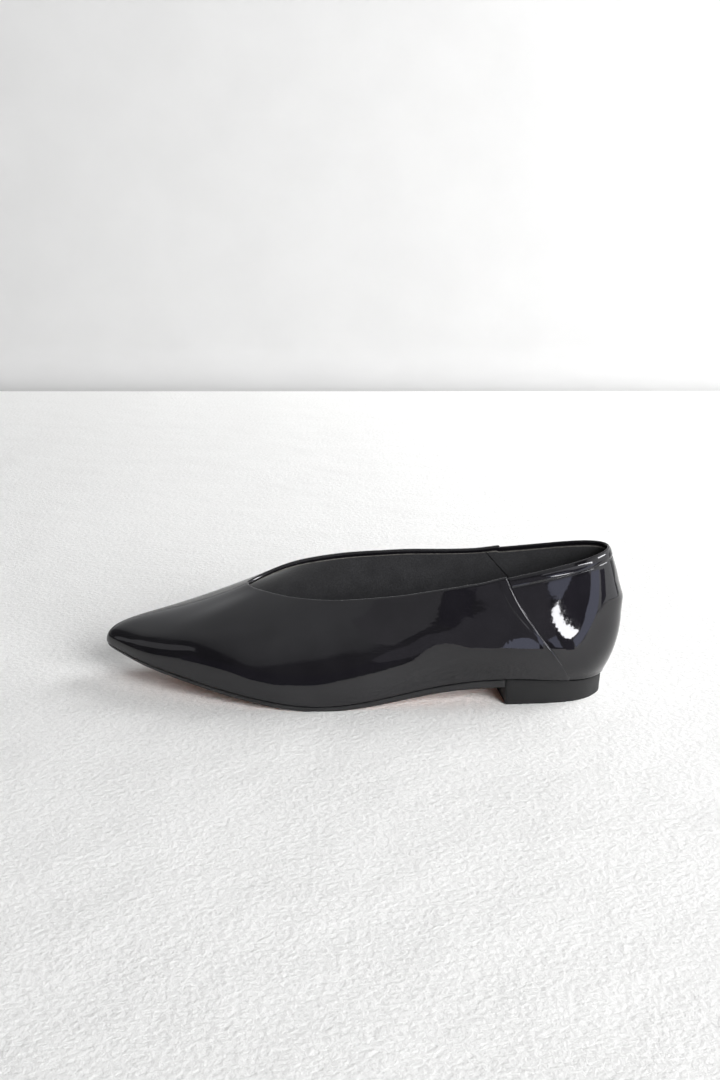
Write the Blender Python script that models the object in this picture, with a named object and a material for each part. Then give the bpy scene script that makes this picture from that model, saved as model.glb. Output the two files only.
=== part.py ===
"""Left pointed flat in black patent leather: upper, insole, outsole and heel.

The toe points to -X, the heel to +X, the outer side of the foot faces -Y, +Z is up and
the floor is z = 0.  Tables are in millimetres; y is measured from the heel's centre line.
"""
import bpy
import bmesh
import numpy as np
from math import acos, pi, radians, tan

MM = 0.001
HEEL_LINE_Y = -5.3        # the heel's centre line, so that the box around the shoe is centred on y = 0
HEEL_SEAT_X = 121.5       # back of the feather line, where upper and sole meet
TOE_X = -131.0            # front of the feather line

WALL = 1.8                # quarter leather with its lining
VAMP_STEP = 0.9           # the vamp lies on top of the quarter by this much
VAMP_FADE = 0.30          # share of the wall, from the feather line up, where that step fades in
SEAM_STATION = 103.0      # the slanted side seam starts on the feather line here
CORNER_LIFT = 0.7         # the vamp's top corner stands above the quarter's topline
CORNER_REACH = 14.0       # and comes back to it over this length
BAND_STEP = 0.5           # taped band along the quarter's topline
BAND_START = 0.935        # share of the wall where the band begins
LAY_FROM, LAY_TO = 15.0, 60.0   # wall runs that turn from the topline's normal to the straight line
TOE_FROM, TOE_TO = 38.0, 62.0   # wall runs that stop following the sole's edge, towards the point

GAP = 0.3                 # between pieces that are glued together
INSOLE_THICK = 2.2
INSOLE_INSET = WALL + 0.4
SOLE_EDGE_TAPER = 0.5     # the sole edge leans in towards the ground
BREAST_X = 71.2           # front of the heel on its outer side
BREAST_SIDE_Y = -24.0
BREAST_TURN = 5.4         # degrees, the inner corner lies further forward
HEEL_INSET_TOP = 0.3
HEEL_INSET_FLOOR = 1.0

SEAM_COLUMNS = 26         # columns of the quarter, seam to seam
VAMP_COLUMNS = 100        # columns of the vamp, seam to seam
OUTER_ROWS = 16
INNER_ROWS = 10
SOLE_ROWS = 44
INSOLE_ROWS = 40
HEEL_ROWS = 16
ACROSS = 6

# station, outer side y, inner side y, height of the feather line
FEATHER = (
    (121.5, 0.8, 0.8, 10.0),
    (118.0, -8.5, 9.8, 10.2),
    (112.0, -15.4, 16.2, 10.7),
    (103.0, -20.2, 20.8, 11.4),
    (82.0, -23.8, 23.8, 13.1),
    (60.0, -24.6, 24.0, 12.8),
    (40.0, -24.8, 24.5, 10.2),
    (20.0, -28.0, 29.0, 6.9),
    (0.0, -31.8, 35.5, 3.8),
    (-25.0, -34.4, 42.0, 2.7),
    (-45.0, -32.4, 44.6, 4.7),
    (-70.0, -24.0, 44.0, 8.4),
    (-90.0, -14.3, 40.5, 11.7),
    (-109.0, -2.8, 34.0, 15.0),
    (-121.0, 8.0, 28.2, 17.0),
    (-131.0, 20.5, 20.5, 18.7),
)

# x, outer y, outer z, inner y, inner z of the topline above each feather station
TOPLINE = (
    (123.2, 1.5, 75.0, 1.5, 75.0),
    (111.0, -11.0, 71.4, 14.5, 74.3),
    (91.4, -15.6, 67.0, 22.2, 70.8),
    (71.2, -16.9, 62.8, 26.7, 67.8),
    (47.1, -17.5, 58.6, 30.8, 65.5),
    (33.4, -17.5, 56.4, 32.5, 65.0),
    (21.2, -17.2, 54.4, 33.6, 64.6),
    (9.6, -16.5, 53.0, 34.0, 63.9),
    (-3.0, -15.4, 51.7, 34.0, 63.1),
    (-17.0, -13.0, 50.6, 32.6, 61.7),
    (-28.0, -9.2, 50.2, 30.8, 60.1),
    (-39.0, -3.2, 50.1, 27.5, 57.5),
    (-47.0, 2.6, 50.4, 24.0, 54.9),
    (-53.0, 8.0, 50.6, 20.5, 52.7),
    (-55.7, 11.7, 50.9, 18.5, 51.7),
    (-57.0, 16.0, 51.2, 16.0, 51.2),
)

# wall at each station: outward flare at the sole in degrees, length it keeps that way,
# inward lean at the topline in degrees, length it keeps that way; outer side, then inner side
WALL_SHAPE = (
    (30, 24, 22, 25, 30, 24, 22, 25),
    (32, 22.5, 18, 26, 27, 24, 21, 24),
    (30, 20, 15, 26, 22, 22, 18, 22),
    (23.5, 19.5, 15, 24, 16, 20, 16, 20),
    (14.5, 18.5, 16, 21, 14, 18, 15, 19),
    (6, 17.5, 18, 19, 14, 18, 15, 18),
    (1, 18, 22, 18, 14, 19, 16, 18),
    (-1, 19, 27, 17, 12, 20, 18, 18),
    (-2, 20, 34, 18, 9, 21, 21, 19),
    (-5, 20, 43, 21, 4, 22, 30, 21),
    (-5, 20, 55, 24, 1, 23, 40, 23),
    (-1, 19, 63, 28, 1, 23, 54, 26),
    (2, 18, 68, 33, 2, 21, 64, 31),
    (4, 15, 68, 39, 4, 17, 68, 38),
    (5, 14, 68, 43, 5, 15, 68, 42),
    (6, 14, 67, 46, 6, 14, 67, 46),
)

# station and thickness of the outsole
SOLE_THICKNESS = (
    (121.5, 4.2),
    (60.0, 4.2),
    (30.0, 3.6),
    (0.0, 3.0),
    (-20.0, 2.9),
    (-70.0, 2.5),
    (-110.0, 2.2),
    (-131.0, 1.7),
)

COLORS = {
    "upper": ((0.010, 0.010, 0.011), 0.08),
    "insole": ((0.030, 0.030, 0.032), 0.80),
    "outsole": ((0.055, 0.026, 0.018), 0.60),
    "heel": ((0.014, 0.014, 0.015), 0.55),
}

MID_X = (HEEL_SEAT_X + TOE_X) / 2
HALF_LENGTH = (HEEL_SEAT_X - TOE_X) / 2
UP = np.array([0.0, 0.0, 1.0])
FLAT = np.array([1.0, 1.0, 0.0])


def angle_of(station):
    """Angle on the loop around the shoe: 0 at the heel, pi at the toe."""
    return acos(max(-1.0, min(1.0, (station - MID_X) / HALF_LENGTH)))


def smooth(value):
    part = np.clip(value, 0.0, 1.0)
    return part * part * (3 - 2 * part)


def closed_spline(angles, rows):
    """Periodic cubic through the rows; returns a function of the angle."""
    angles = np.array(angles)
    rows = np.array(rows, float)
    count = len(angles)
    gaps = np.diff(np.append(angles, angles[0] + 2 * pi))
    system = np.zeros((count, count))
    right = np.zeros_like(rows)
    for here in range(count):
        back = here - 1
        ahead = (here + 1) % count
        system[here, back] += gaps[back]
        system[here, here] += 2 * (gaps[back] + gaps[here])
        system[here, ahead] += gaps[here]
        rise = (rows[ahead] - rows[here]) / gaps[here]
        fall = (rows[here] - rows[back]) / gaps[back]
        right[here] = 6 * (rise - fall)
    bend = np.linalg.solve(system, right)

    def curve(angle):
        turn = np.mod(np.asarray(angle, float) - angles[0], 2 * pi) + angles[0]
        here = np.clip(np.searchsorted(angles, turn, side="right") - 1, 0, count - 1)
        ahead = (here + 1) % count
        gap = gaps[here][:, None]
        past = (turn - angles[here])[:, None]
        left = gap - past
        cubic = (bend[here] * left ** 3 + bend[ahead] * past ** 3) / (6 * gap)
        start = (rows[here] / gap - bend[here] * gap / 6) * left
        end = (rows[ahead] / gap - bend[ahead] * gap / 6) * past
        return cubic + start + end

    return curve


def shoe_spline():
    """Feather y and z, topline x, y and z, then the four wall values, all around the shoe."""
    angles = []
    rows = []
    for feather, rim, wall in zip(FEATHER, TOPLINE, WALL_SHAPE):
        angles.append(angle_of(feather[0]))
        rows.append((feather[1], feather[3], rim[0], rim[1], rim[2]) + wall[:4])
    inner = list(zip(FEATHER, TOPLINE, WALL_SHAPE))[1:-1]
    for feather, rim, wall in reversed(inner):
        angles.append(2 * pi - angle_of(feather[0]))
        rows.append((feather[2], feather[3], rim[0], rim[3], rim[4]) + wall[4:])
    return closed_spline(angles, rows)


SHOE = shoe_spline()


def feather_line(angles):
    values = SHOE(angles)
    return np.stack([MID_X + HALF_LENGTH * np.cos(angles), values[:, 0], values[:, 1]], 1)


def topline(angles):
    return SHOE(angles)[:, 2:5]


def tangent_and_normal(line, angles):
    """Unit tangent and outward normal of a line around the shoe, seen from above."""
    step = 1e-4
    along = (line(angles + step) - line(angles - step)) * FLAT
    along /= np.linalg.norm(along, axis=1)[:, None]
    outward = np.stack([-along[:, 1], along[:, 0], 0 * along[:, 0]], 1)
    return along, outward


def wall_surface(angles, shares):
    """Outer face of the quarter and the lining under the vamp: rows by share, columns by angle."""
    angles = np.asarray(angles, float)
    values = SHOE(angles)
    foot = feather_line(angles)
    rim = topline(angles)
    flare, rise, lean, run = (values[:, k][:, None] for k in (5, 6, 7, 8))
    flare = np.radians(flare)
    lean = np.radians(lean)
    along, foot_out = tangent_and_normal(feather_line, angles)
    rim_out = tangent_and_normal(topline, angles)[1]
    span = rim - foot
    slide = (span * along).sum(1)[:, None] * along
    level = -span * FLAT
    length = np.linalg.norm(level, axis=1)[:, None]
    straight = smooth((length - LAY_FROM) / (LAY_TO - LAY_FROM))
    lay = rim_out * (1 - straight) + level / length * straight
    lay /= np.linalg.norm(lay, axis=1)[:, None]
    follow = 1 - smooth((length - TOE_FROM) / (TOE_TO - TOE_FROM))
    low = foot + (np.cos(flare) * UP + np.sin(flare) * foot_out) * rise + slide / 3 * follow
    high = rim + (np.sin(lean) * lay - np.cos(lean) * UP) * run - slide / 3 * (1 - straight)
    share = np.asarray(shares, float)[:, None, None]
    rest = 1 - share
    return rest ** 3 * foot + 3 * rest ** 2 * share * low + 3 * rest * share ** 2 * high + share ** 3 * rim


def wall_normals(angles, shares):
    step = 1e-3
    angles = np.asarray(angles, float)
    shares = np.asarray(shares, float)
    around = wall_surface(angles + step, shares) - wall_surface(angles - step, shares)
    upward = wall_surface(angles, shares + step) - wall_surface(angles, shares - step)
    normal = np.cross(upward, around)
    return normal / np.linalg.norm(normal, axis=2)[:, :, None]


def wall_layer(angles, shares, offset, lift):
    """The wall moved out by offset, with its top lifted along the wall."""
    face = wall_surface(angles, shares) + wall_normals(angles, shares) * offset
    step = 1e-3
    top = np.ones(1)
    climb = wall_surface(angles, top) - wall_surface(angles, top - step)
    climb /= np.linalg.norm(climb, axis=2)[:, :, None]
    weight = smooth((np.asarray(shares)[:, None, None] - 0.8) / 0.2)
    return face + climb * weight * np.asarray(lift)[None, :, None]


def seam_distance(angles):
    """Length along the topline from the nearer side seam."""
    seam = angle_of(SEAM_STATION)
    rims = topline(np.array([seam, 2 * pi - seam]))
    points = topline(np.asarray(angles, float))
    gaps = np.linalg.norm(points[:, None, :] - rims[None, :, :], axis=2)
    return gaps.min(axis=1)


def upper_profiles():
    """Closed profile of the wall for every column around the shoe, quarter first, then vamp."""
    seam = angle_of(SEAM_STATION)
    quarter = np.linspace(-seam, seam, SEAM_COLUMNS + 1)
    vamp = np.linspace(seam, 2 * pi - seam, VAMP_COLUMNS + 1)
    outer = np.linspace(0.0, BAND_START, OUTER_ROWS)
    outer = np.concatenate([outer, [BAND_START, 1.0]])
    inner = np.linspace(1.0, 0.0, INNER_ROWS)

    band = np.zeros(len(outer))
    band[OUTER_ROWS:] = BAND_STEP
    flat = np.zeros(len(quarter))
    quarter_out = wall_layer(quarter, outer, band[:, None, None], flat)
    quarter_in = wall_layer(quarter, inner, -WALL, flat)

    step = VAMP_STEP * smooth(outer / VAMP_FADE)
    lift = CORNER_LIFT * (1 - smooth(seam_distance(vamp) / CORNER_REACH))
    vamp_out = wall_layer(vamp, outer, step[:, None, None], lift)
    vamp_in = wall_layer(vamp, inner, -WALL, lift)
    quarter_loops = np.concatenate([quarter_out, quarter_in])
    vamp_loops = np.concatenate([vamp_out, vamp_in])
    return np.concatenate([quarter_loops, vamp_loops], axis=1)


def sole_height(station):
    """Height of the feather line above the floor at a station."""
    station = np.clip(np.asarray(station, float), TOE_X, HEEL_SEAT_X)
    return SHOE(np.arccos((station - MID_X) / HALF_LENGTH))[:, 1]


def sole_thickness(station):
    table = np.array(SOLE_THICKNESS)[::-1]
    return np.interp(station, table[:, 0], table[:, 1])


def breast_x(y):
    return BREAST_X - tan(radians(BREAST_TURN)) * (y - BREAST_SIDE_Y)


def outline(angles, inset):
    """Feather line moved inwards, as x and y."""
    line = feather_line(angles)
    normal = tangent_and_normal(feather_line, angles)[1]
    return (line - normal * inset)[:, :2]


def station_rows(first, last, count, inset):
    """Pairs of outline points, outer side and inner side, from one angle to another."""
    angles = np.linspace(first, last, count + 1)
    return outline(angles, inset), outline(2 * pi - angles, inset)


def across(outer, inner):
    """Points on straight lines from the outer side to the inner side of each row."""
    share = np.linspace(0.0, 1.0, ACROSS + 1)[None, :, None]
    return outer[:, None, :] * (1 - share) + inner[:, None, :] * share


def slab(top_plan, low_plan, top_height, low_height):
    """Closed solid between two layers of rows; returns vertices and faces."""
    rows, columns = top_plan.shape[:2]
    layers = []
    for plan, height in ((top_plan, top_height), (low_plan, low_height)):
        flat = plan.reshape(-1, 2)
        layers.append(np.column_stack([flat, height(flat[:, 0])]))
    vertices = np.concatenate(layers)
    below = rows * columns
    faces = []
    for row in range(rows - 1):
        for column in range(columns - 1):
            corner = row * columns + column
            quad = (corner, corner + 1, corner + columns + 1, corner + columns)
            faces.append(quad)
            faces.append(tuple(below + k for k in reversed(quad)))
    rim = list(range(columns))
    rim += [row * columns + columns - 1 for row in range(1, rows)]
    rim += [(rows - 1) * columns + k for k in range(columns - 2, -1, -1)]
    rim += [row * columns for row in range(rows - 2, 0, -1)]
    for here, ahead in zip(rim, rim[1:] + rim[:1]):
        faces.append((here, here + below, ahead + below, ahead))
    return vertices, faces


def loop_solid(profiles):
    """Closed solid from closed profiles that follow each other around a ring."""
    rows, columns = profiles.shape[:2]
    vertices = profiles.transpose(1, 0, 2).reshape(-1, 3)
    faces = []
    for column in range(columns):
        ahead = (column + 1) % columns
        for row in range(rows):
            above = (row + 1) % rows
            faces.append((column * rows + row, ahead * rows + row, ahead * rows + above, column * rows + above))
    return vertices, faces


def trim_to_breast(plan, offset, keep_front):
    """Stop every lengthwise line of a slab's plan at the heel breast."""
    limit = breast_x(plan[:, :, 1]) + offset
    trimmed = plan.copy()
    if keep_front:
        trimmed[:, :, 0] = np.minimum(plan[:, :, 0], limit)
    else:
        trimmed[:, :, 0] = np.maximum(plan[:, :, 0], limit)
    return trimmed


def add_node(name, vertices, faces):
    """Make one named solid in metres, welded and facing outwards."""
    placed = (np.asarray(vertices) + np.array([0.0, HEEL_LINE_Y, 0.0])) * MM
    mesh = bpy.data.meshes.new(name)
    mesh.from_pydata(placed.tolist(), [], [list(face) for face in faces])
    work = bmesh.new()
    work.from_mesh(mesh)
    bmesh.ops.remove_doubles(work, verts=work.verts, dist=1e-6)
    bmesh.ops.dissolve_degenerate(work, edges=work.edges, dist=1e-7)
    bmesh.ops.triangulate(work, faces=work.faces)
    bmesh.ops.recalc_face_normals(work, faces=work.faces)
    work.to_mesh(mesh)
    work.free()
    color, roughness = COLORS[name]
    material = bpy.data.materials.new(name)
    material.use_nodes = True
    shader = material.node_tree.nodes["Principled BSDF"]
    shader.inputs["Base Color"].default_value = (*color, 1.0)
    shader.inputs["Roughness"].default_value = roughness
    mesh.materials.append(material)
    node = bpy.data.objects.new(name, mesh)
    bpy.context.scene.collection.objects.link(node)
    return node


def make_upper():
    vertices, faces = loop_solid(upper_profiles())
    add_node("upper", vertices, faces)


def make_insole():
    outer, inner = station_rows(0.0, pi, INSOLE_ROWS, INSOLE_INSET)
    plan = across(outer, inner)

    def top(x):
        return sole_height(x) + INSOLE_THICK

    vertices, faces = slab(plan, plan, top, sole_height)
    add_node("insole", vertices, faces)


def make_outsole():
    first = angle_of(BREAST_X + 6)
    top_plan = across(*station_rows(first, pi, SOLE_ROWS, 0.0))
    low_plan = across(*station_rows(first, pi, SOLE_ROWS, SOLE_EDGE_TAPER))
    top_plan = trim_to_breast(top_plan, -GAP, True)
    low_plan = trim_to_breast(low_plan, -GAP, True)

    def top(x):
        return sole_height(x) - GAP

    def low(x):
        return np.maximum(sole_height(x) - sole_thickness(x), 0.0)

    vertices, faces = slab(top_plan, low_plan, top, low)
    add_node("outsole", vertices, faces)


def make_heel():
    last = angle_of(BREAST_X - 8)
    top_plan = across(*station_rows(0.0, last, HEEL_ROWS, HEEL_INSET_TOP))
    low_plan = across(*station_rows(0.0, last, HEEL_ROWS, HEEL_INSET_FLOOR))
    top_plan = trim_to_breast(top_plan, 0.0, False)
    low_plan = trim_to_breast(low_plan, 0.0, False)

    def top(x):
        return sole_height(x) - GAP

    def floor(x):
        return 0.0 * x

    vertices, faces = slab(top_plan, low_plan, top, floor)
    add_node("heel", vertices, faces)


def clear_scene():
    for item in list(bpy.data.objects):
        bpy.data.objects.remove(item)


clear_scene()
make_upper()
make_insole()
make_outsole()
make_heel()
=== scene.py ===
"""Looks of the left pointed flat: patent vamp and quarter, lining, sock, sole and heel.

Lengths are in millimetres until they are placed, and y is measured from the heel's centre line.
The toe points to -X, the outer side of the foot faces -Y, +Z is up and the floor is z = 0.
"""
from math import acos, pi, radians, tan

import bmesh
import bpy
import numpy as np
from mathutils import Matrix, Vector


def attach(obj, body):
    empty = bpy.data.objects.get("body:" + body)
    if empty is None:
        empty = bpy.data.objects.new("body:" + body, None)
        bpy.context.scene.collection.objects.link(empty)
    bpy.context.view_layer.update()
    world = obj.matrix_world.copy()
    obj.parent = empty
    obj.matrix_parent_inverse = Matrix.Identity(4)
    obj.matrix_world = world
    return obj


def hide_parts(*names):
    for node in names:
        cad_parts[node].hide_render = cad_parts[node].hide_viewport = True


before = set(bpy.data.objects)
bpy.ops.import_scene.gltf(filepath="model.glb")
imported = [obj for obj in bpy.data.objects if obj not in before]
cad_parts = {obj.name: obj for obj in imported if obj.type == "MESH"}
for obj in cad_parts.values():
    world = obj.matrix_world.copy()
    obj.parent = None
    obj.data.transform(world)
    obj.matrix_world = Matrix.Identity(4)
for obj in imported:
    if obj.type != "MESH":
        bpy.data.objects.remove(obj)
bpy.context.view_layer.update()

# Sizes of the shoe, the same as in the solids
MM = 0.001
HEEL_LINE_Y = -5.3          # the heel's centre line
HEEL_SEAT_X = 121.5         # back of the feather line, where upper and sole meet
TOE_X = -131.0              # front of the feather line
WALL = 1.8                  # quarter leather with its lining
VAMP_STEP = 0.9             # the vamp lies on top of the quarter by this much
VAMP_FADE = 0.30            # share of the wall where that step fades in
SEAM_STATION = 103.0        # the slanted side seam starts on the feather line here
CORNER_LIFT = 0.7           # the vamp's top corner stands above the quarter's topline
CORNER_REACH = 14.0         # and comes back to it over this length
LAY_FROM, LAY_TO = 15.0, 60.0   # wall runs that turn from the topline's normal to the straight line
TOE_FROM, TOE_TO = 38.0, 62.0   # wall runs that stop following the sole's edge, towards the point
GAP = 0.3                   # between neighbouring parts
SOLE_EDGE_TAPER = 0.5       # the sole edge leans in towards the ground
BREAST_X = 71.2             # front of the heel on its outer side
BREAST_SIDE_Y = -24.0
BREAST_TURN = 5.4           # degrees, the inner corner lies further forward
HEEL_INSET_TOP = 0.3
HEEL_INSET_FLOOR = 1.0
INSOLE_THICK = 2.2

# station, outer side y, inner side y, height of the feather line
FEATHER = (
    (121.5, 0.8, 0.8, 10.0),
    (118.0, -8.5, 9.8, 10.2),
    (112.0, -15.4, 16.2, 10.7),
    (103.0, -20.2, 20.8, 11.4),
    (82.0, -23.8, 23.8, 13.1),
    (60.0, -24.6, 24.0, 12.8),
    (40.0, -24.8, 24.5, 10.2),
    (20.0, -28.0, 29.0, 6.9),
    (0.0, -31.8, 35.5, 3.8),
    (-25.0, -34.4, 42.0, 2.7),
    (-45.0, -32.4, 44.6, 4.7),
    (-70.0, -24.0, 44.0, 8.4),
    (-90.0, -14.3, 40.5, 11.7),
    (-109.0, -2.8, 34.0, 15.0),
    (-121.0, 8.0, 28.2, 17.0),
    (-131.0, 20.5, 20.5, 18.7),
)

# x, outer y, outer z, inner y, inner z of the topline above each feather station
TOPLINE = (
    (123.2, 1.5, 75.0, 1.5, 75.0),
    (111.0, -11.0, 71.4, 14.5, 74.3),
    (91.4, -15.6, 67.0, 22.2, 70.8),
    (71.2, -16.9, 62.8, 26.7, 67.8),
    (47.1, -17.5, 58.6, 30.8, 65.5),
    (33.4, -17.5, 56.4, 32.5, 65.0),
    (21.2, -17.2, 54.4, 33.6, 64.6),
    (9.6, -16.5, 53.0, 34.0, 63.9),
    (-3.0, -15.4, 51.7, 34.0, 63.1),
    (-17.0, -13.0, 50.6, 32.6, 61.7),
    (-28.0, -9.2, 50.2, 30.8, 60.1),
    (-39.0, -3.2, 50.1, 27.5, 57.5),
    (-47.0, 2.6, 50.4, 24.0, 54.9),
    (-53.0, 8.0, 50.6, 20.5, 52.7),
    (-55.7, 11.7, 50.9, 18.5, 51.7),
    (-57.0, 16.0, 51.2, 16.0, 51.2),
)

# wall at each station: outward flare at the sole in degrees, length it keeps that way,
# inward lean at the topline in degrees, length it keeps that way; outer side, then inner side
WALL_SHAPE = (
    (30, 24, 22, 25, 30, 24, 22, 25),
    (32, 22.5, 18, 26, 27, 24, 21, 24),
    (30, 20, 15, 26, 22, 22, 18, 22),
    (23.5, 19.5, 15, 24, 16, 20, 16, 20),
    (14.5, 18.5, 16, 21, 14, 18, 15, 19),
    (6, 17.5, 18, 19, 14, 18, 15, 18),
    (1, 18, 22, 18, 14, 19, 16, 18),
    (-1, 19, 27, 17, 12, 20, 18, 18),
    (-2, 20, 34, 18, 9, 21, 21, 19),
    (-5, 20, 43, 21, 4, 22, 30, 21),
    (-5, 20, 55, 24, 1, 23, 40, 23),
    (-1, 19, 63, 28, 1, 23, 54, 26),
    (2, 18, 68, 33, 2, 21, 64, 31),
    (4, 15, 68, 39, 4, 17, 68, 38),
    (5, 14, 68, 43, 5, 15, 68, 42),
    (6, 14, 67, 46, 6, 14, 67, 46),
)

# station and thickness of the outsole
SOLE_THICKNESS = (
    (121.5, 4.2),
    (60.0, 4.2),
    (30.0, 3.6),
    (0.0, 3.0),
    (-20.0, 2.9),
    (-70.0, 2.5),
    (-110.0, 2.2),
    (-131.0, 1.7),
)

# Sewing details, in millimetres
UNDERLAP = 0.12             # lower face of the vamp above the quarter
FOOT_STEP = 0.55            # share of the vamp's step that is left at the sole
FOLD = 0.55                 # radius of the vamp's folded edge at the seam
STRIP_WIDE = 4.1            # pressed strip beside the fold, at the topline
STRIP_NARROW = 0.9          # and where it runs out
STRIP_FROM = 0.38           # share of the wall where the strip starts to widen
STRIP_RISE = 0.5            # and the share that this takes
TROUGH_DEPTH = 0.16
TROUGH_WIDTH = 0.55
TROUGH_FROM = 0.34          # share of the wall where the strip's trough fades in
TROUGH_RISE = 0.25
FOLD_BEAD = 0.24            # the doubled leather stands up beside the fold
BEAD_PLACE = 1.0
BEAD_WIDTH = 0.7
FOOT_CURL = 0.9             # radius where the upper turns in over the sole
RIM_HEIGHT = 1.0            # height of the rounded topline
FACING_FACE = -1.3          # inner face of the leather that is turned in at the topline
FACING_DEPTHS = (0.0, 0.8, 1.7, 2.8, 4.5)
END_EASE = 0.35             # rim and facing are slimmer by this much where the leather ends
LEATHER_THICK = 0.2         # the leather is nowhere thinner than this
LIFT_FROM = 0.8             # share of the wall where the lift of the vamp's corner fades in
VAMP_FACING = 2.3           # leather that shows above the lining
QUARTER_FACING = 2.4
BAND_WIDTH = 4.2            # taped band along the quarter's topline
BAND_HEIGHT = 0.36
BAND_CROWN = 0.46           # share of its width where the band stands highest
BAND_GROOVE = 0.16
GROOVE_PLACE = 0.25         # below the band
GROOVE_WIDTH = 0.24
RELIEF_END = 0.8            # the quarter's relief is full up to this far behind the seam
RELIEF_FADE = 0.7           # and fades out over this length
UNDER_DROP = 0.05           # under the vamp the quarter lies lower by this much
DROP_FROM, DROP_RUN = 0.1, 0.4      # from this far ahead of the seam, over this length
UNDER_RIM = 0.8             # and its rim eases down by this share of END_EASE
EASE_BEHIND, EASE_RUN = 0.4, 0.5    # from this far behind the seam, over this length
QUARTER_BACK = -0.3         # back of the quarter's leather
LIP_RISE = 0.25             # the quarter's lower edge swells out over the heel
LIP_PLACE = 1.2
LIP_WIDTH = 0.7
COUNTER_TOP = 50.0          # upper edge of the stiffener at the back, which shows as a blunt ridge
COUNTER_RIDGE = 1.1
COUNTER_SPAN = 9.0
COUNTER_TURN = 0.22         # radians around the back where the ridge fades out
LINING_BACK = -1.25
LINING_FOOT = 0.008         # share of the wall where the lining starts
RAW_EDGE = ((0.35, -0.02), (0.75, 0.0), (0.93, 0.05))   # share of the thickness, drop of the raw top edge
RAW_ROUND = 0.16
LINING_SEAM = 7.5           # the lining's own seam lies this far in front of the side seam at the topline
LINING_SLANT = 16.0         # and runs back by this much on its way down to the sole
HEEL_GRIP = 0.55            # the heel lining lies on the vamp lining by this much
GRIP_EDGE = 0.14            # half the width over which it steps up
DITCH_DEPTH = 0.12          # the stitches pull the lining's seam down
DITCH_WIDTH = 0.4
FACING_FADE = 3.0           # length over which the lining's top edge changes from quarter to vamp
SOCK_SHARE = 0.036          # share of the wall where the sock's edge meets the lining
SOCK_ROUND = 0.6
SOCK_CUP = 0.6              # the sock turns up along its edge

# Distances from a seam of the mesh's lines beside it: on the vamp, on the quarter under it, on the lining
SEAM_REACH = (0.0, 0.03, 0.08, 0.15, 0.25, 0.38, 0.55, 0.8, 1.1, 1.5, 2.0, 2.5, 2.9,
              3.3, 3.6, 3.9, 4.2, 4.5, 4.8, 5.2, 5.8, 6.8, 8.5, 11.0)
UNDER_REACH = (3.0, 1.6, 0.7, 0.3, 0.1, 0.0, -0.1, -0.25, -0.5, -0.8, -1.2, -2.0, -3.5, -6.0)
LINING_REACH = (-5.0, -2.4, -1.0, -0.5, -0.28, -0.14, -0.05, 0.05, 0.14, 0.28, 0.5, 1.0, 2.4, 5.0)
FAR = 1000.0                # a distance that no seam's relief reaches

# Lines of the meshes
VAMP_LINES = 230            # between the seams, around the toe
QUARTER_LINES = 120         # between the seams, around the heel
VAMP_LINING_LINES = 218
HEEL_LINING_LINES = 108
RIM_LINES = 9               # over the topline
BACK_LINES = 16             # on the back of the leather
OPEN_LINES = 14             # the back starts at this row from the top, behind the facing
LINING_BACK_LINES = 10
SOLE_LINES = 24             # across the underside and the upper side of a sole piece
SOCK_ROWS = 150             # along the shoe
OUTSOLE_ROWS = 190
HEEL_ROWS = 90

MID_X = (HEEL_SEAT_X + TOE_X) / 2
HALF_LENGTH = (HEEL_SEAT_X - TOE_X) / 2
UP = np.array([0.0, 0.0, 1.0])
FLAT = np.array([1.0, 1.0, 0.0])


def angle_of(station):
    """Angle on the loop around the shoe: 0 at the heel, pi at the toe."""
    return acos(max(-1.0, min(1.0, (station - MID_X) / HALF_LENGTH)))


SEAM = angle_of(SEAM_STATION)


def smooth(value):
    """Soft step from 0 to 1."""
    part = np.clip(value, 0.0, 1.0)
    return part * part * (3 - 2 * part)


def unit(vectors):
    """Vectors of length 1."""
    return vectors / np.linalg.norm(vectors, axis=-1, keepdims=True)


# The last's surface

def closed_spline(angles, rows):
    """Periodic cubic through the rows; returns a function of the angle."""
    angles = np.array(angles)
    rows = np.array(rows, float)
    count = len(angles)
    gaps = np.diff(np.append(angles, angles[0] + 2 * pi))
    system = np.zeros((count, count))
    right = np.zeros_like(rows)
    for here in range(count):
        back = here - 1
        ahead = (here + 1) % count
        system[here, back] += gaps[back]
        system[here, here] += 2 * (gaps[back] + gaps[here])
        system[here, ahead] += gaps[here]
        rise = (rows[ahead] - rows[here]) / gaps[here]
        fall = (rows[here] - rows[back]) / gaps[back]
        right[here] = 6 * (rise - fall)
    bend = np.linalg.solve(system, right)

    def curve(angle):
        turn = np.mod(np.asarray(angle, float) - angles[0], 2 * pi) + angles[0]
        here = np.clip(np.searchsorted(angles, turn, side="right") - 1, 0, count - 1)
        ahead = (here + 1) % count
        gap = gaps[here][:, None]
        past = (turn - angles[here])[:, None]
        left = gap - past
        cubic = (bend[here] * left ** 3 + bend[ahead] * past ** 3) / (6 * gap)
        start = (rows[here] / gap - bend[here] * gap / 6) * left
        end = (rows[ahead] / gap - bend[ahead] * gap / 6) * past
        return cubic + start + end

    return curve


def shoe_spline():
    """Feather y and z, topline x, y and z, then the four wall values, all around the shoe."""
    angles = []
    rows = []
    for feather, rim, wall in zip(FEATHER, TOPLINE, WALL_SHAPE):
        angles.append(angle_of(feather[0]))
        rows.append((feather[1], feather[3], rim[0], rim[1], rim[2]) + wall[:4])
    inner = list(zip(FEATHER, TOPLINE, WALL_SHAPE))[1:-1]
    for feather, rim, wall in reversed(inner):
        angles.append(2 * pi - angle_of(feather[0]))
        rows.append((feather[2], feather[3], rim[0], rim[3], rim[4]) + wall[4:])
    return closed_spline(angles, rows)


SHOE = shoe_spline()


def feather_line(angles):
    """Points where upper and sole meet."""
    values = SHOE(angles)
    return np.stack([MID_X + HALF_LENGTH * np.cos(angles), values[:, 0], values[:, 1]], 1)


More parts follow.
